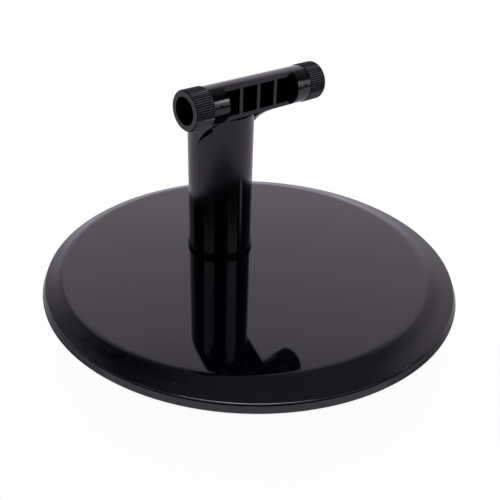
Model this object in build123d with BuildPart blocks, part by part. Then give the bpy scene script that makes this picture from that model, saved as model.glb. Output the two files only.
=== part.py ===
"""Small pedestal stand: round weighted base, offset column and a T-shaped head with knurled collars."""
from build123d import *
import os
from math import cos, sin, tan, sqrt, radians, pi

os.makedirs("parts", exist_ok=True)

# ---------------------------------------- driving dimensions, millimetres
# The origin is the centre of the base on the table. +X runs along the cross tube, the window faces -Y.
# base: a tray with a low band, and a cover with a set-back plateau
base_radius = 64.0
base_height = 3.5
band_height = 1.75
rim_taper = 0.86
parting_gap = 0.22
parting_step = 0.1
cover_edge_height = 0.35
plateau_radius = 57.0
plateau_setback = 2.76
plateau_edge = 0.3
cover_edge = 0.25
bevel_dip = 0.12
cover_wall = 1.0
tray_floor = 0.8
tray_edge = 0.2
lip_inset = 1.0
lip_wall = 1.0
lip_clearance = 0.1
plate_radius = 52.0
plate_thickness = 1.2

# column, in two halves
column_radius = 10.0
column_wall = 2.0
column_y = 15.24
seam_y = -1.4
foot_ring_radius = 10.45
foot_ring_height = 1.5
foot_ring_seat = 0.4
foot_ring_edge = 0.3
flange_radius = 13.5

# neck: the side walls' free edge and the front half's top; points are (y from the column's axis, height)
neck_start = 41.0
neck_bend_radius = 5.7
neck_lean_angle = 48.8
wall_edge_foot = (seam_y, 41.6)
wall_edge_middle = (-5.04, 45.86)
wall_edge_end = (-9.5, 49.25)
wall_edge_top = (-14.4, 52.2)
lip_foot = (seam_y, 41.55)
lip_top = (-6.4, 46.0)
tongue_foot = (0.0, 40.7)
tongue_top = (-8.4, 49.1)
tongue_half = 7.9

# cross tube, with a window and three ribs
tube_y = 1.15
tube_height = 57.45
tube_radius = 5.25
tube_wall = 1.0
tube_half = 17.6
window_half = 12.65
window_plane = 2.3
rib_thickness = 1.1
rib_pitch = 6.27

# knurled collars, each held by a pin and a friction ring
collar_length = 5.95
collar_radius = 5.5
collar_gap = 0.15
knurl_depth = 0.3
knurl_count = 54
face_radius = 5.15
face_chamfer = 0.35
bore_radius = 3.8
spigot_radius = 4.65
spigot_length = 4.0
running_clearance = 0.05
socket_play = 0.4
groove_depth = 0.4
groove_play = 0.2
pin_station = 15.55
pin_radius = 0.45
pin_tilt = 10.5
pin_sink = 0.3
pin_play = 0.1
ring_station = 16.5
ring_width = 0.9
ring_squeeze = 0.02

# feet and screws
foot_projection = 0.4
foot_recess = 0.4
foot_radius = 4.0
foot_clearance = 0.1
foot_edge = 0.2
foot_circle = 47.0
foot_count = 6
foot_angle = 60
tray_screw_circle = 58.6
tray_screw_count = 6
tray_screw_angle = 90
tray_boss_radius = 2.0
tray_pilot_radius = 0.8
tray_pilot_depth = 1.5
tray_hole_radius = 0.9
tray_counterbore_radius = 1.8
tray_counterbore_depth = 0.5
tray_head_radius = 1.7
tray_head_height = 0.4
tray_shank_radius = 0.75
tray_shank_length = 1.8
column_screw_offset = 5.2
column_boss_radius = 2.4
column_boss_height = 9.0
column_pilot_radius = 1.0
plate_hole_radius = 1.35
plate_counterbore_radius = 2.4
plate_counterbore_depth = 0.6
column_head_radius = 2.3
column_head_height = 0.55
column_shank_radius = 0.95
column_shank_length = 6.8
head_gap = 0.05

# ---------------------------------------- heights and places worked out
tray_bottom = foot_projection
floor_top = tray_bottom + tray_floor
parting_z = tray_bottom + band_height
rim_z = parting_z + parting_gap
plateau_z = tray_bottom + base_height
ceiling_z = plateau_z - cover_wall
plate_top = floor_top + plate_thickness
parting_radius = base_radius - rim_taper
lip_radius = parting_radius - lip_inset
cavity_radius = lip_radius - lip_clearance - lip_wall
inner_radius = column_radius - column_wall
seam_z = tray_bottom + neck_start
tube_z = tray_bottom + tube_height
collar_face = tube_half + collar_gap
collar_end = collar_face + collar_length
spigot_end = collar_face - spigot_length
reach = 4 * column_radius


def at_height(z, y=0.0):
    """A level plane at height z, with its origin moved back by y."""
    return Plane(origin=(0, y, z), x_dir=(1, 0, 0), z_dir=(0, 0, 1))


def tube_station(x):
    """A plane square to the cross tube at x, with its local x pointing back and local y up."""
    return Plane(origin=(x, tube_y, tube_z), x_dir=(0, 1, 0), z_dir=(1, 0, 0))


def disc(z, radius, y=0.0):
    """Level sketch of one circle at height z, moved back by y."""
    with BuildSketch(at_height(z, y)) as circle:
        Circle(radius)
    return circle.sketch


def ring(plane, radius, hole_radius):
    """Sketch of a flat ring."""
    with BuildSketch(plane) as flat_ring:
        Circle(radius)
        Circle(hole_radius, mode=Mode.SUBTRACT)
    return flat_ring.sketch


def at_tray_screws(z, radius):
    """Level sketch with one circle at each screw of the tray."""
    with BuildSketch(at_height(z)) as circles:
        with PolarLocations(tray_screw_circle, tray_screw_count, start_angle=tray_screw_angle):
            Circle(radius)
    return circles.sketch


def at_column_screws(z, radius):
    """Level sketch with one circle at each of the column's two screws."""
    with BuildSketch(at_height(z, column_y)) as circles:
        with Locations((0, -column_screw_offset), (0, column_screw_offset)):
            Circle(radius)
    return circles.sketch


def save(piece, name):
    """Label one finished piece and write its STEP file."""
    piece.part.label = name
    export_step(piece.part, f"parts/{name}.step")


# ---------------------------------------- base cover: plateau, bevel and skirt
edge_z = rim_z + cover_edge_height
edge_radius = parting_radius - 1.5 * parting_step
bevel_middle_radius = (parting_radius + plateau_radius) / 2
bevel_middle_z = (edge_z + plateau_z) / 2 - bevel_dip
with BuildPart() as base_cover:
    loft([disc(rim_z, parting_radius - parting_step), disc(edge_z, edge_radius)], ruled=True)
    loft([
        disc(edge_z, edge_radius),
        disc(bevel_middle_z, bevel_middle_radius, plateau_setback / 2),
        disc(plateau_z, plateau_radius, plateau_setback),
    ])
    fillet(base_cover.faces().sort_by(Axis.Z)[-1].edges(), plateau_edge)
    fillet(base_cover.edges().filter_by_position(Axis.Z, edge_z, edge_z, (True, True)), cover_edge)
    # the tongue that drops inside the tray's rim
    extrude(disc(floor_top + parting_gap, lip_radius - lip_clearance), amount=parting_z - floor_top)
    # cavity for the ballast plate
    extrude(disc(floor_top, cavity_radius), amount=rim_z - floor_top, mode=Mode.SUBTRACT)
    loft(
        [disc(rim_z, cavity_radius), disc(ceiling_z, plateau_radius - cover_wall, plateau_setback)],
        ruled=True,
        mode=Mode.SUBTRACT,
    )
    # screw bosses round the edge, and their pilot holes
    extrude(at_tray_screws(floor_top, tray_boss_radius), amount=ceiling_z - floor_top)
    extrude(at_tray_screws(floor_top, tray_pilot_radius), amount=tray_pilot_depth, mode=Mode.SUBTRACT)
    # the hole that the column stands in, with a shallow seat for the ring round its foot
    seat_z = plateau_z - foot_ring_seat
    extrude(disc(seat_z, foot_ring_radius, column_y), amount=cover_wall, mode=Mode.SUBTRACT)
    extrude(disc(plateau_z, column_radius, column_y), amount=-base_height, mode=Mode.SUBTRACT)
save(base_cover, "base_cover")

# ---------------------------------------- base tray: the lower band and the floor
with BuildPart() as base_tray:
    loft([disc(tray_bottom, base_radius), disc(parting_z, parting_radius)], ruled=True)
    extrude(disc(floor_top, lip_radius), amount=band_height, mode=Mode.SUBTRACT)
    chamfer(base_tray.edges().group_by(Axis.Z)[0], tray_edge)
    with BuildSketch(at_height(tray_bottom)):
        with PolarLocations(foot_circle, foot_count, start_angle=foot_angle):
            Circle(foot_radius + foot_clearance)
    extrude(amount=foot_recess, mode=Mode.SUBTRACT)
    extrude(at_tray_screws(tray_bottom, tray_hole_radius), amount=tray_floor, mode=Mode.SUBTRACT)
    extrude(
        at_tray_screws(tray_bottom, tray_counterbore_radius),
        amount=tray_counterbore_depth,
        mode=Mode.SUBTRACT,
    )
save(base_tray, "base_tray")

# ---------------------------------------- ballast plate: a steel disc on the tray floor
with BuildPart() as ballast_plate:
    extrude(disc(floor_top, plate_radius), amount=plate_thickness)
    extrude(at_column_screws(floor_top, plate_hole_radius), amount=plate_thickness, mode=Mode.SUBTRACT)
    extrude(
        at_column_screws(floor_top, plate_counterbore_radius),
        amount=plate_counterbore_depth,
        mode=Mode.SUBTRACT,
    )
save(ballast_plate, "ballast_plate")

# ---------------------------------------- ring bead round the foot of the column
with BuildPart() as column_foot_ring:
    foot_ring_plane = at_height(plateau_z - foot_ring_seat, column_y)
    foot_ring = ring(foot_ring_plane, foot_ring_radius, column_radius)
    extrude(foot_ring, amount=foot_ring_height + foot_ring_seat)
    chamfer(column_foot_ring.edges().group_by(Axis.Z)[-1].sort_by(SortBy.RADIUS)[-1], foot_ring_edge)
save(column_foot_ring, "column_foot_ring")

# ---------------------------------------- what the column's two halves share
# A point on the side plane is (y from the column's axis, height above the tray).
side = Plane(origin=(0, column_y, tray_bottom), x_dir=(0, 1, 0), z_dir=(1, 0, 0))


def half_ring(sign, radius, z_low):
    """Level half ring on one side of the column's seam: sign is -1 for the front and 1 for the rear."""
    with BuildSketch(at_height(z_low, column_y)) as half:
        Circle(radius)
        Circle(inner_radius, mode=Mode.SUBTRACT)
        with Locations((0, seam_y - sign * reach / 2)):
            Rectangle(reach, reach, mode=Mode.SUBTRACT)
    return half.sketch


def screw_boss(sign):
    """Round boss with a rib back to the column's wall."""
    with BuildSketch(at_height(plate_top, column_y)) as boss:
        with Locations((0, sign * column_screw_offset)):
            Circle(column_boss_radius)
        with Locations((0, sign * (column_screw_offset + column_wall))):
            Rectangle(column_wall, 2 * column_wall)
        with Locations((0, sign * column_screw_offset)):
            Circle(column_pilot_radius, mode=Mode.SUBTRACT)
    return boss.sketch


def above_line(plane, foot, top):
    """Sketch of everything above a sloping line that runs on level in front of its top."""
    with BuildSketch(plane) as region:
        with BuildLine():
            Polyline(foot, top, (-reach, top[1]), (-reach, 2 * reach), (foot[0], 2 * reach), close=True)
        make_face()
    return region.sketch


# ---------------------------------------- column, front half
with BuildPart() as column_front:
    extrude(half_ring(-1, column_radius, plate_top), amount=tray_bottom + tongue_top[1] - plate_top)
    extrude(half_ring(-1, flange_radius, plate_top), amount=ceiling_z - plate_top)
    extrude(screw_boss(-1), amount=column_boss_height)
    # the top slopes: its middle is a tongue between the neck's side walls, a step above the lips
    extrude(above_line(side, tongue_foot, tongue_top), amount=tongue_half, both=True, mode=Mode.SUBTRACT)
    for sign in (-1, 1):
        above_lip = above_line(side.offset(sign * tongue_half), lip_foot, lip_top)
        extrude(above_lip, amount=sign * 2 * column_wall, mode=Mode.SUBTRACT)
save(column_front, "column_front")

# ---------------------------------------- column, rear half with the swept neck
bend_rise = neck_bend_radius * sin(radians(neck_lean_angle))
bend_lean = neck_bend_radius * (1 - cos(radians(neck_lean_angle)))
bend_steps = 3
slope_direction = (0, -sin(radians(neck_lean_angle)), cos(radians(neck_lean_angle)))
slope_normal = (cos(radians(neck_lean_angle)), sin(radians(neck_lean_angle)))
tube_from_column = tube_y - column_y


def neck_section(rise, radius):
    """Level section at a rise above the bend's start: a half circle behind, straight sides forward."""
    lean = neck_bend_radius - sqrt(neck_bend_radius**2 - rise**2)
    with BuildSketch(at_height(seam_z + rise, column_y - lean)) as section:
        with BuildLine():
            Polyline((-radius, 0), (-radius, -reach), (radius, -reach), (radius, 0))
            CenterArc((0, 0), radius, 0, 180)
        make_face()
    return section.sketch


def neck_solid(radius):
    """The neck filled in: an arc out of the vertical, then a straight slope."""
    with BuildPart() as neck:
        loft([neck_section(bend_rise * i / bend_steps, radius) for i in range(bend_steps + 1)])
        extrude(neck_section(bend_rise, radius), amount=reach, dir=slope_direction)
    return neck.part


with BuildPart() as column_rear:
    add(neck_solid(column_radius))
    add(neck_solid(inner_radius), mode=Mode.SUBTRACT)
    # keep what lies behind the cross tube and above the side walls' free edge
    with BuildSketch(side):
        with BuildLine():
            ThreePointArc(wall_edge_foot, wall_edge_middle, wall_edge_end)
            Polyline(
                wall_edge_end,
                wall_edge_top,
                (tube_from_column, tube_height),
                (tube_from_column + reach * slope_normal[0], tube_height + reach * slope_normal[1]),
                (tube_from_column + reach * slope_normal[0], neck_start),
                (seam_y, neck_start),
                wall_edge_foot,
            )
        make_face()
    extrude(amount=2 * column_radius, both=True, mode=Mode.INTERSECT)
    # the cradle that the cross tube lies in
    with BuildSketch(tube_station(-2 * column_radius)):
        Circle(tube_radius)
    extrude(amount=4 * column_radius, mode=Mode.SUBTRACT)
    extrude(half_ring(1, column_radius, plate_top), amount=seam_z - plate_top)
    extrude(half_ring(1, flange_radius, plate_top), amount=ceiling_z - plate_top)
    extrude(screw_boss(1), amount=column_boss_height)
save(column_rear, "column_rear")

# ---------------------------------------- cross tube with its window and three ribs
tube_axis = Axis((0, tube_y, tube_z), (1, 0, 0))
along_tube = Plane(origin=(0, tube_y, tube_z), x_dir=(1, 0, 0), z_dir=(0, -1, 0))
pin_direction = (0, -cos(radians(pin_tilt)), sin(radians(pin_tilt)))


def pin_plane(sign):
    """A plane through the tube's axis, square to the pin on one side."""
    return Plane(origin=(sign * pin_station, tube_y, tube_z), x_dir=(1, 0, 0), z_dir=pin_direction)


with BuildPart() as cross_tube:
    with BuildSketch(tube_station(-tube_half)):
        Circle(tube_radius)
    extrude(amount=2 * tube_half)
    # hollow behind the window, then the flat slice that opens it
    with BuildSketch(tube_station(-window_half)):
        Circle(tube_radius - tube_wall)
    extrude(amount=2 * window_half, mode=Mode.SUBTRACT)
    with BuildSketch(tube_station(-window_half)):
        with Locations((-window_plane - tube_radius, 0)):
            Rectangle(2 * tube_radius, 3 * tube_radius)
    extrude(amount=2 * window_half, mode=Mode.SUBTRACT)
    for station in (-rib_pitch, 0, rib_pitch):
        with BuildSketch(tube_station(station - rib_thickness / 2)):
            Circle(tube_radius - tube_wall / 2)
            with Locations((-window_plane - tube_radius, 0)):
                Rectangle(2 * tube_radius, 3 * tube_radius, mode=Mode.SUBTRACT)
        extrude(amount=rib_thickness)
    # a round socket in each end, and the hole for the pin that keeps the collar in
    for sign in (-1, 1):
        with BuildSketch(tube_station(sign * (spigot_end - socket_play))):
            Circle(spigot_radius + running_clearance)
        extrude(amount=sign * tube_half, mode=Mode.SUBTRACT)
        with BuildSketch(pin_plane(sign)):
            Circle(pin_radius)
        extrude(amount=2 * tube_radius, mode=Mode.SUBTRACT)
save(cross_tube, "cross_tube")

# ---------------------------------------- pins, collars and friction rings, one of each per end
groove_radius = spigot_radius - groove_depth
pin_groove_half = pin_radius + groove_play
for sign, hand in ((-1, "left"), (1, "right")):
    with BuildPart() as collar_pin:
        with BuildSketch(pin_plane(sign).offset(groove_radius + pin_play)):
            Circle(pin_radius)
        extrude(amount=tube_radius - pin_sink - groove_radius - pin_play)
    save(collar_pin, f"{hand}_collar_pin")

    with BuildPart() as collar:
        # straight knurl all the way along, chamfered at the outer face
        with BuildSketch(tube_station(sign * collar_face)):
            with BuildLine():
                knurl_points = []
                for i in range(2 * knurl_count):
                    angle = pi * i / knurl_count
                    radius = collar_radius - knurl_depth * (i % 2)
                    knurl_points.append((radius * cos(angle), radius * sin(angle)))
                Polyline(*knurl_points, close=True)
            make_face()
        extrude(amount=sign * collar_length)
        with BuildSketch(along_tube):
            with BuildLine():
                Polyline(
                    (sign * collar_end, face_radius),
                    (sign * collar_end, face_radius + 2 * face_chamfer),
                    (sign * (collar_end - 2 * face_chamfer), face_radius + 2 * face_chamfer),
                    close=True,
                )
            make_face()
        revolve(axis=tube_axis, mode=Mode.SUBTRACT)
        # spigot that turns in the tube, grooved for the pin and the friction ring
        with BuildSketch(tube_station(sign * collar_face)):
            Circle(spigot_radius)
        extrude(amount=-sign * spigot_length)
        groove_plane = tube_station(sign * (pin_station - pin_groove_half))
        pin_groove = ring(groove_plane, tube_radius, groove_radius)
        extrude(pin_groove, amount=sign * 2 * pin_groove_half, mode=Mode.SUBTRACT)
        ring_groove = ring(tube_station(sign * ring_station), tube_radius, groove_radius)
        extrude(ring_groove, amount=sign * ring_width, mode=Mode.SUBTRACT)
        with BuildSketch(tube_station(sign * spigot_end)):
            Circle(bore_radius)
        extrude(amount=sign * (spigot_length + collar_length), mode=Mode.SUBTRACT)
    save(collar, f"{hand}_collar")

    with BuildPart() as friction_ring:
        ring_plane = tube_station(sign * ring_station)
        extrude(ring(ring_plane, spigot_radius + ring_squeeze, groove_radius), amount=sign * ring_width)
    save(friction_ring, f"{hand}_friction_ring")

# ---------------------------------------- screws up into the column, and round the tray
with BuildPart() as column_screws:
    extrude(at_column_screws(floor_top + head_gap, column_head_radius), amount=column_head_height)
    shank_z = floor_top + head_gap + column_head_height
    extrude(at_column_screws(shank_z, column_shank_radius), amount=column_shank_length)
save(column_screws, "column_screws")

with BuildPart() as tray_screws:
    extrude(at_tray_screws(tray_bottom + head_gap, tray_head_radius), amount=tray_head_height)
    shank_z = tray_bottom + head_gap + tray_head_height
    extrude(at_tray_screws(shank_z, tray_shank_radius), amount=tray_shank_length)
save(tray_screws, "tray_screws")

# ---------------------------------------- rubber feet
for i in range(foot_count):
    angle = radians(foot_angle + 360 * i / foot_count)
    with BuildPart() as foot:
        with BuildSketch(Plane(origin=(foot_circle * cos(angle), foot_circle * sin(angle), 0))):
            Circle(foot_radius)
        extrude(amount=foot_projection + foot_recess)
        chamfer(foot.edges().group_by(Axis.Z)[0], foot_edge)
    save(foot, f"foot_{i + 1}")
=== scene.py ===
# Small glossy black pedestal stand: finishes, small details, floor, light and camera
import math
import bpy
import bmesh
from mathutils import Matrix, Quaternion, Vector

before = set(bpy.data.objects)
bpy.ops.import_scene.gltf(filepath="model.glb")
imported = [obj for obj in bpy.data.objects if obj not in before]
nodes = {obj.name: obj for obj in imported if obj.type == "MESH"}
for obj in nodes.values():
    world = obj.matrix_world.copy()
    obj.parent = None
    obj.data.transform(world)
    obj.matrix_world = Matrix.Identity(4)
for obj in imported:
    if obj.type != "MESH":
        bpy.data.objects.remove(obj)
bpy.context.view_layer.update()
print("frame loaded,", len(nodes), "nodes")

scene = bpy.context.scene
scene.view_settings.view_transform = "Standard"


# ---- camera
cameraSetup = {
    "lens": 48.66,                           # mm on a 36 mm sensor
    "place": (-0.12336, -0.13478, 0.11627),  # metres
    "aim": (0.00212, 0.00265, 0.00611),
    "roll": 1.876,                           # degrees
}


def addCamera(setup):
    camData = bpy.data.cameras.new("standCamera")
    camData.lens = setup["lens"]
    camData.sensor_width = 36
    camData.clip_start = 0.01
    camData.clip_end = 50
    cam = bpy.data.objects.new("standCamera", camData)
    scene.collection.objects.link(cam)
    cam.location = setup["place"]
    look = Vector(setup["aim"]) - Vector(setup["place"])
    turn = look.to_track_quat("-Z", "Y") @ Quaternion((0, 0, 1), math.radians(setup["roll"]))
    cam.rotation_euler = turn.to_euler()
    scene.camera = cam
    return cam


addCamera(cameraSetup)
print("camera placed")


# ---- node helpers
def startMaterial(name):
    mat = bpy.data.materials.new(name)
    mat.use_nodes = True
    tree = mat.node_tree
    shader = tree.nodes["Principled BSDF"]
    return mat, tree, shader


def addNode(tree, kind, **settings):
    node = tree.nodes.new(kind)
    for key, value in settings.items():
        if key in node.inputs:
            node.inputs[key].default_value = value
        else:
            setattr(node, key, value)
    return node


def objectCoords(tree, scale=(1, 1, 1), turn=(0, 0, 0), place=(0, 0, 0)):
    coords = tree.nodes.new("ShaderNodeTexCoord")
    mapping = tree.nodes.new("ShaderNodeMapping")
    mapping.inputs["Scale"].default_value = scale
    mapping.inputs["Rotation"].default_value = turn
    mapping.inputs["Location"].default_value = [-value for value in place]
    tree.links.new(coords.outputs["Object"], mapping.inputs["Vector"])
    return mapping.outputs["Vector"]


def noise(tree, vector, scale, detail=2.0, rough=0.5):
    tex = tree.nodes.new("ShaderNodeTexNoise")
    tex.inputs["Scale"].default_value = scale
    tex.inputs["Detail"].default_value = detail
    tex.inputs["Roughness"].default_value = rough
    tree.links.new(vector, tex.inputs["Vector"])
    return tex.outputs["Fac"]


def remap(tree, value, fromLow, fromHigh, toLow, toHigh, smooth=False):
    node = tree.nodes.new("ShaderNodeMapRange")
    node.interpolation_type = "SMOOTHSTEP" if smooth else "LINEAR"
    node.inputs["From Min"].default_value = fromLow
    node.inputs["From Max"].default_value = fromHigh
    node.inputs["To Min"].default_value = toLow
    node.inputs["To Max"].default_value = toHigh
    tree.links.new(value, node.inputs["Value"])
    return node.outputs["Result"]


def combine(tree, operation, first, second):
    node = tree.nodes.new("ShaderNodeMath")
    node.operation = operation
    for socket, value in zip(node.inputs, (first, second)):
        if isinstance(value, (int, float)):
            socket.default_value = value
        else:
            tree.links.new(value, socket)
    return node.outputs["Value"]


def mixColours(tree, amount, low, high):
    node = tree.nodes.new("ShaderNodeMix")
    node.data_type = "RGBA"
    node.inputs[6].default_value = (*low, 1)
    node.inputs[7].default_value = (*high, 1)
    tree.links.new(amount, node.inputs[0])
    return node.outputs[2]


# ---- glossy moulded plastic
basePlastic = {
    "colour": (0.0005, 0.0006, 0.0012),
    "dustColour": (0.05, 0.05, 0.048),
    "roughness": 0.035,
    "ior": 1.5,
    "ripple": 0.00002,   # metres of moulding ripple
    "dustSize": 0.11,    # share of a dust cell
    "dustShare": 0.02,   # cells that hold a speck
    "scratch": 0.12,     # roughness that a hairline adds
    "film": 0.09,        # share of dust colour in a wiped-on haze
}
coverPlastic = dict(
    basePlastic,
    topMiddle=(0, 0.00276, 0),      # metres, middle of the flat top
    easeAcross=(0.0552, 0.0577),    # where the edge's roll begins and ends
    slopeFrom=(0.0572, 0.0582),
    slopeRise=0.0014,
    slopeWidth=0.0070,
)
ringPlastic = dict(basePlastic, roughness=0.3, ior=1.12)
columnPlastic = dict(basePlastic, roughness=0.125, ripple=0.000004, dustShare=0.006, scratch=0.03, film=0.05)


def dustMask(tree, coords, cells, size, share):
    spots = tree.nodes.new("ShaderNodeTexVoronoi")
    spots.inputs["Scale"].default_value = cells
    tree.links.new(coords, spots.inputs["Vector"])
    dot = remap(tree, spots.outputs["Distance"], size * 0.4, size, 1, 0)
    split = tree.nodes.new("ShaderNodeSeparateColor")
    tree.links.new(spots.outputs["Color"], split.inputs["Color"])
    chosen = combine(tree, "LESS_THAN", split.outputs["Red"], share)
    return combine(tree, "MULTIPLY", dot, chosen)


def hairlineMask(tree, turn, patches):
    along = objectCoords(tree, scale=(25, 1400, 1400), turn=turn)
    lines = noise(tree, along, 1.0, detail=1.0)
    band = combine(tree, "ABSOLUTE", combine(tree, "SUBTRACT", lines, 0.5), 0)
    thin = remap(tree, band, 0.0, 0.004, 1, 0)
    return combine(tree, "MULTIPLY", thin, patches)


def vectorMath(tree, operation, first, second=None, output="Vector"):
    node = tree.nodes.new("ShaderNodeVectorMath")
    node.operation = operation
    for socket, value in zip(node.inputs, (first, second)):
        if isinstance(value, tuple):
            socket.default_value = value
        elif value is not None:
            tree.links.new(value, socket)
    return node.outputs[output]


def scaleVector(tree, vector, factor):
    node = tree.nodes.new("ShaderNodeVectorMath")
    node.operation = "SCALE"
    tree.links.new(vector, node.inputs[0])
    tree.links.new(factor, node.inputs["Scale"])
    return node.outputs["Vector"]


def easedEdge(tree, look):
    flat = objectCoords(tree, scale=(1, 1, 0), place=look["topMiddle"])
    away = vectorMath(tree, "LENGTH", flat, output="Value")
    outward = vectorMath(tree, "NORMALIZE", flat)
    split = tree.nodes.new("ShaderNodeSeparateXYZ")
    tree.links.new(outward, split.inputs["Vector"])
    spread = combine(tree, "MULTIPLY", split.outputs["Y"], -look["topMiddle"][1])
    slope = combine(tree, "DIVIDE", look["slopeRise"], combine(tree, "ADD", spread, look["slopeWidth"]))
    ease = remap(tree, away, *look["easeAcross"], 0, 1, smooth=True)
    lean = scaleVector(tree, outward, combine(tree, "MULTIPLY", slope, ease))
    eased = vectorMath(tree, "NORMALIZE", vectorMath(tree, "ADD", lean, (0, 0, 1)))
    past = remap(tree, away, *look["slopeFrom"], 0, 1, smooth=True)
    blend = tree.nodes.new("ShaderNodeMix")
    blend.data_type = "VECTOR"
    tree.links.new(past, blend.inputs[0])
    tree.links.new(eased, blend.inputs[4])
    tree.links.new(tree.nodes.new("ShaderNodeTexCoord").outputs["Normal"], blend.inputs[5])
    turned = tree.nodes.new("ShaderNodeVectorTransform")
    turned.vector_type = "NORMAL"
    turned.convert_from = "OBJECT"
    turned.convert_to = "WORLD"
    tree.links.new(blend.outputs[1], turned.inputs["Vector"])
    return turned.outputs["Vector"], past


def makeGlossPlastic(name, look):
    mat, tree, shader = startMaterial(name)
    coords = objectCoords(tree)
    shader.inputs["IOR"].default_value = look["ior"]
    dust = dustMask(tree, coords, 700, look["dustSize"], look["dustShare"])
    patches = remap(tree, noise(tree, coords, 60), 0.5, 0.62, 0, 1, smooth=True)
    scratches = combine(
        tree, "MAXIMUM", hairlineMask(tree, (0, 0, 0.5), patches), hairlineMask(tree, (0, 0, 1.9), patches)
    )
    smears = remap(tree, noise(tree, coords, 45, detail=4), 0.35, 0.75, look["roughness"], look["roughness"] * 1.5)
    rough = combine(tree, "ADD", smears, combine(tree, "MULTIPLY", scratches, look["scratch"]))
    rough = combine(tree, "ADD", rough, combine(tree, "MULTIPLY", dust, 0.5))
    tree.links.new(rough, shader.inputs["Roughness"])
    cloud = remap(tree, noise(tree, coords, 45, detail=5, rough=0.65), 0.50, 0.66, 0, look["film"], smooth=True)
    if "easeAcross" in look:
        eased, past = easedEdge(tree, look)
        cloud = combine(tree, "MULTIPLY", cloud, past)
    marks = combine(tree, "MAXIMUM", cloud, dust)
    tree.links.new(mixColours(tree, marks, look["colour"], look["dustColour"]), shader.inputs["Base Color"])
    ripple = noise(tree, coords, 90, detail=1)
    bump = addNode(tree, "ShaderNodeBump", Strength=0.6, Distance=look["ripple"])
    tree.links.new(ripple, bump.inputs["Height"])
    if "easeAcross" in look:
        tree.links.new(eased, bump.inputs["Normal"])
    tree.links.new(bump.outputs["Normal"], shader.inputs["Normal"])
    return mat


# ---- satin moulded plastic
satinPlastic = {
    "colour": (0.0020, 0.0020, 0.0022),
    "wornColour": (0.0040, 0.0040, 0.0044),
    "roughness": 0.13,
    "grain": 0.000003,
    "axle": (0, 0.00115, 0.05785),   # metres, the collars' turning line
    "tooth": (0.00528, 0.00546),     # radius at the foot and crest of a tooth
    "crest": (0.040, 0.041, 0.047),  # painted highlight on the tooth crests
}


def makeSatinPlastic(name, look):
    mat, tree, shader = startMaterial(name)
    coords = objectCoords(tree)
    shader.inputs["IOR"].default_value = 1.5
    blotches = noise(tree, coords, 120, detail=3)
    plain = mixColours(tree, blotches, look["colour"], look["wornColour"])
    round = tree.nodes.new("ShaderNodeVectorMath")
    round.operation = "MULTIPLY"
    round.inputs[1].default_value = (0, 1, 1)
    tree.links.new(objectCoords(tree, place=look["axle"]), round.inputs[0])
    away = tree.nodes.new("ShaderNodeVectorMath")
    away.operation = "LENGTH"
    tree.links.new(round.outputs["Vector"], away.inputs[0])
    # painted highlight: tooth crests lighter than the grooves
    crest = remap(tree, away.outputs["Value"], *look["tooth"], 0, 1, smooth=True)
    paintedCrestHighlight = mixColours(tree, crest, (0, 0, 0), look["crest"])
    both = tree.nodes.new("ShaderNodeMix")
    both.data_type = "RGBA"
    both.blend_type = "ADD"
    both.inputs[0].default_value = 1.0
    tree.links.new(plain, both.inputs[6])
    tree.links.new(paintedCrestHighlight, both.inputs[7])
    tree.links.new(both.outputs[2], shader.inputs["Base Color"])
    rough = remap(tree, noise(tree, coords, 150, detail=3), 0.3, 0.7, look["roughness"], look["roughness"] * 1.4)
    tree.links.new(rough, shader.inputs["Roughness"])
    # painted shade: less shine down in the grooves between the teeth
    paintedGrooveShade = remap(tree, away.outputs["Value"], *look["tooth"], 0.06, 0.5, smooth=True)
    ends = remap(tree, away.outputs["Value"], look["tooth"][0] - 0.00012, look["tooth"][0] - 0.0001, 0.5, 0)
    tree.links.new(combine(tree, "MAXIMUM", paintedGrooveShade, ends), shader.inputs["Specular IOR Level"])
    bump = addNode(tree, "ShaderNodeBump", Strength=0.3, Distance=look["grain"])
    tree.links.new(noise(tree, coords, 1500, detail=2), bump.inputs["Height"])
    tree.links.new(bump.outputs["Normal"], shader.inputs["Normal"])
    return mat


rubber = {"colour": (0.018, 0.018, 0.018), "dusty": (0.06, 0.058, 0.055), "roughness": 0.75}


def makeRubber(name, look):
    mat, tree, shader = startMaterial(name)
    coords = objectCoords(tree)
    dirt = remap(tree, noise(tree, coords, 700, detail=5), 0.45, 0.8, 0, 1)
    tree.links.new(mixColours(tree, dirt, look["colour"], look["dusty"]), shader.inputs["Base Color"])
    rough = remap(tree, noise(tree, coords, 1500), 0.3, 0.7, look["roughness"] * 0.85, look["roughness"])
    tree.links.new(rough, shader.inputs["Roughness"])
    bump = addNode(tree, "ShaderNodeBump", Strength=0.7, Distance=0.00006)
    tree.links.new(noise(tree, coords, 2500, detail=4), bump.inputs["Height"])
    tree.links.new(bump.outputs["Normal"], shader.inputs["Normal"])
    return mat


steel = {"colour": (0.56, 0.56, 0.55), "dark": (0.38, 0.38, 0.39), "roughness": 0.22}


blackenedSteel = {"colour": (0.030, 0.030, 0.032), "dark": (0.018, 0.018, 0.020), "roughness": 0.35}


def makeSteel(name, look, spangle):
    mat, tree, shader = startMaterial(name)
    coords = objectCoords(tree)
    shader.inputs["Metallic"].default_value = 1.0
    cells = addNode(tree, "ShaderNodeTexVoronoi", Scale=spangle)
    tree.links.new(coords, cells.inputs["Vector"])
    split = tree.nodes.new("ShaderNodeSeparateColor")
    tree.links.new(cells.outputs["Color"], split.inputs["Color"])
    tree.links.new(mixColours(tree, split.outputs["Red"], look["dark"], look["colour"]), shader.inputs["Base Color"])
    rough = remap(tree, split.outputs["Green"], 0, 1, look["roughness"], look["roughness"] * 1.8)
    tree.links.new(rough, shader.inputs["Roughness"])
    return mat


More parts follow.
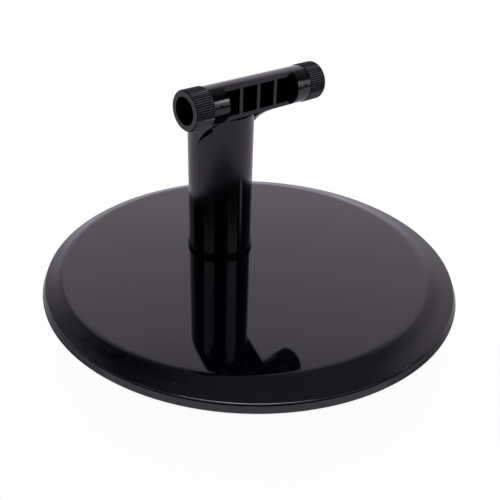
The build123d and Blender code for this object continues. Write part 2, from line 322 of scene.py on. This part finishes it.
finishes = {
    "gloss_black": makeGlossPlastic("glossBlackPlastic", basePlastic),
    "cover_black": makeGlossPlastic("coverBlackPlastic", coverPlastic),
    "ring_black": makeGlossPlastic("ringBlackPlastic", ringPlastic),
    "column_black": makeGlossPlastic("columnBlackPlastic", columnPlastic),
    "satin_black": makeSatinPlastic("satinBlackPlastic", satinPlastic),
    "black_rubber": makeRubber("footRubber", rubber),
    "plate_steel": makeSteel("zincPlate", steel, 350),
    "screw_steel": makeSteel("screwSteel", steel, 2500),
    "pin_black": makeSteel("blackenedPin", blackenedSteel, 2500),
}


def finishNode(name):
    if name in ("left_collar", "right_collar"):
        return "satin_black"
    if name.startswith("foot_") or name.endswith("friction_ring"):
        return "black_rubber"
    if name == "ballast_plate":
        return "plate_steel"
    if name.endswith("screws"):
        return "screw_steel"
    if name.endswith("pin"):
        return "pin_black"
    if name == "base_cover":
        return "cover_black"
    if name == "column_foot_ring":
        return "ring_black"
    if name in ("column_front", "column_rear", "cross_tube"):
        return "column_black"
    return "gloss_black"


for name, node in nodes.items():
    node.data.materials.clear()
    node.data.materials.append(finishes[finishNode(name)])
print("finishes on every node")


# ---- floor, room and lamps
floorLook = {
    "radius": 0.30,             # metres, a small sweep of paper
    "colour": (0.70, 0.70, 0.70),
    "whiteSeen": (0.92, 1.0),   # share of plain white to the eye, near and far
    "mirrored": (0.15, 0.64),   # brightness in the gloss, near and far; painted shadow, dim near the shaded spot
    "fade": (0.042, 0.075),     # metres from the shaded spot, near and far
    # middle of the painted shadow that the gloss sees on the floor
    "shaded": (-0.021, -0.025, 0),
}
roomLook = {
    "tint": (1.035, 0.96, 1.10),  # cool cast in the gloss
    "dark": (0.004, 0.18),        # the unlit room, in front and behind
    "darkMiddle": 112,
    "darkHalf": (20, 66),
    "lowLevel": 1.0,              # pale band all round the table
    "lowTop": (13, 22),           # degrees, where it fades out
    "wallLevel": 0.92,            # pale wall behind the stand
    "wallTop": (36, 54),
    "wallMiddle": 138,            # degrees round from the front
    "wallHalf": (24, 38),
    "sideTop": (18, 56),          # the wall is lower to the left
    "sideMiddle": 180,
    "sideHalf": (20, 32),
    "gapTop": (-3, -1),           # dark gap under the tall lamp
    "gapMiddle": 41,
    "gapHalf": (14, 24),
}


def addFloor(look):
    bm = bmesh.new()
    bmesh.ops.create_circle(bm, cap_ends=True, segments=96, radius=look["radius"])
    mesh = bpy.data.meshes.new("floor")
    bm.to_mesh(mesh)
    bm.free()
    floor = bpy.data.objects.new("floor", mesh)
    scene.collection.objects.link(floor)
    floor.location = (0, 0, -0.00005)
    mat, tree, shader = startMaterial("palePaper")
    shader.inputs["Base Color"].default_value = (*look["colour"], 1)
    shader.inputs["Roughness"].default_value = 0.9
    shader.inputs["Specular IOR Level"].default_value = 0.0
    distance = tree.nodes.new("ShaderNodeVectorMath")
    distance.operation = "LENGTH"
    tree.links.new(objectCoords(tree, place=look["shaded"]), distance.inputs[0])
    path = tree.nodes.new("ShaderNodeLightPath")
    mirrored = combine(tree, "MAXIMUM", path.outputs["Is Glossy Ray"], path.outputs["Is Transmission Ray"])
    white = remap(tree, distance.outputs["Value"], *look["fade"], *look["whiteSeen"], smooth=True)
    share = combine(tree, "MAXIMUM", combine(tree, "MULTIPLY", path.outputs["Is Camera Ray"], white), mirrored)
    # painted shadow: the floor glows dimmer in the gloss near the shaded spot
    level = remap(tree, distance.outputs["Value"], *look["fade"], *look["mirrored"], smooth=True)
    glow = tree.nodes.new("ShaderNodeEmission")
    tint = mixColours(tree, path.outputs["Is Camera Ray"], roomLook["tint"], (1, 1, 1))
    tree.links.new(tint, glow.inputs["Color"])
    strength = combine(tree, "MULTIPLY", mirrored, level)
    tree.links.new(combine(tree, "MAXIMUM", path.outputs["Is Camera Ray"], strength), glow.inputs["Strength"])
    mix = tree.nodes.new("ShaderNodeMixShader")
    tree.links.new(share, mix.inputs["Fac"])
    tree.links.new(shader.outputs["BSDF"], mix.inputs[1])
    tree.links.new(glow.outputs["Emission"], mix.inputs[2])
    tree.links.new(mix.outputs["Shader"], tree.nodes["Material Output"].inputs["Surface"])
    mesh.materials.append(mat)


def heading(degrees, height=0.0):
    turn, lift = math.radians(degrees), math.radians(height)
    return Vector((math.sin(turn) * math.cos(lift), -math.cos(turn) * math.cos(lift), math.sin(lift)))


def fadeUp(tree, height, limits):
    low, high = (math.sin(math.radians(limit)) for limit in limits)
    return remap(tree, height, low, high, 1, 0, smooth=True)


def fadeRound(tree, flat, middle, limits):
    dot = tree.nodes.new("ShaderNodeVectorMath")
    dot.operation = "DOT_PRODUCT"
    tree.links.new(flat, dot.inputs[0])
    dot.inputs[1].default_value = heading(middle)
    inner, outer = (math.cos(math.radians(limit)) for limit in limits)
    return remap(tree, dot.outputs["Value"], outer, inner, 0, 1, smooth=True)


def addRoomLight(look):
    world = bpy.data.worlds.new("studioRoom")
    world.use_nodes = True
    scene.world = world
    tree = world.node_tree
    coords = tree.nodes.new("ShaderNodeTexCoord").outputs["Generated"]
    split = tree.nodes.new("ShaderNodeSeparateXYZ")
    tree.links.new(coords, split.inputs["Vector"])
    level = tree.nodes.new("ShaderNodeVectorMath")  # heading without its height
    level.operation = "MULTIPLY"
    level.inputs[1].default_value = (1, 1, 0)
    tree.links.new(coords, level.inputs[0])
    flat = tree.nodes.new("ShaderNodeVectorMath")
    flat.operation = "NORMALIZE"
    tree.links.new(level.outputs["Vector"], flat.inputs[0])
    height, flat = split.outputs["Z"], flat.outputs["Vector"]
    underLamp = fadeRound(tree, flat, look["gapMiddle"], look["gapHalf"])
    gap = combine(tree, "MULTIPLY", underLamp, fadeUp(tree, height, look["gapTop"]))
    low = combine(tree, "MULTIPLY", fadeUp(tree, height, look["lowTop"]), look["lowLevel"])
    low = combine(tree, "MULTIPLY", low, combine(tree, "SUBTRACT", 1, gap))
    lit = low
    for part in ("wall", "side"):
        spread = fadeRound(tree, flat, look[part + "Middle"], look[part + "Half"])
        panel = combine(tree, "MULTIPLY", fadeUp(tree, height, look[part + "Top"]), spread)
        lit = combine(tree, "MAXIMUM", lit, combine(tree, "MULTIPLY", panel, look["wallLevel"]))
    behind = fadeRound(tree, flat, look["darkMiddle"], look["darkHalf"])
    room = combine(tree, "MAXIMUM", lit, remap(tree, behind, 0, 1, *look["dark"]))
    path = tree.nodes.new("ShaderNodeLightPath")
    strength = combine(tree, "MAXIMUM", room, path.outputs["Is Camera Ray"])
    tree.links.new(strength, tree.nodes["Background"].inputs["Strength"])
    tint = mixColours(tree, path.outputs["Is Camera Ray"], look["tint"], (1, 1, 1))
    tree.links.new(tint, tree.nodes["Background"].inputs["Color"])


lamps = {
    "overheadSoftbox": {"azimuth": 0, "elevation": 90, "distance": 1.2, "size": (0.6, 0.6), "radiance": 10.0},
    "tallStripLamp": {"azimuth": 41.5, "elevation": 22, "distance": 1.0, "size": (0.09, 0.21), "radiance": 7.5},
    "frontStripLamp": {"azimuth": 8, "elevation": 36, "distance": 1.0, "size": (0.58, 0.26), "radiance": 2.1},
    "leftStripLamp": {"azimuth": -82, "elevation": 36, "distance": 1.0, "size": (0.58, 0.26), "radiance": 1.7},
    "rightSkirtLamp": {"azimuth": 82, "elevation": 3, "distance": 1.0, "size": (1.2, 0.34), "radiance": 2.4},
    "leftSkirtLamp": {"azimuth": -142, "elevation": 1, "distance": 1.0, "size": (0.8, 0.2), "radiance": 2.2},
}


def addLamp(name, look):
    light = bpy.data.lights.new(name, "AREA")
    light.shape = "RECTANGLE"
    light.size, light.size_y = look["size"]
    light.color = roomLook["tint"]
    light.energy = look["radiance"] * math.pi * light.size * light.size_y
    lamp = bpy.data.objects.new(name, light)
    scene.collection.objects.link(lamp)
    out = heading(look["azimuth"], look["elevation"])
    lamp.location = out * look["distance"]
    lamp.rotation_euler = (-out).to_track_quat("-Z", "Y").to_euler()
    lamp.visible_camera = False


addFloor(floorLook)
addRoomLight(roomLook)
for name, look in lamps.items():
    addLamp(name, look)
print("floor, room and lamps ready")
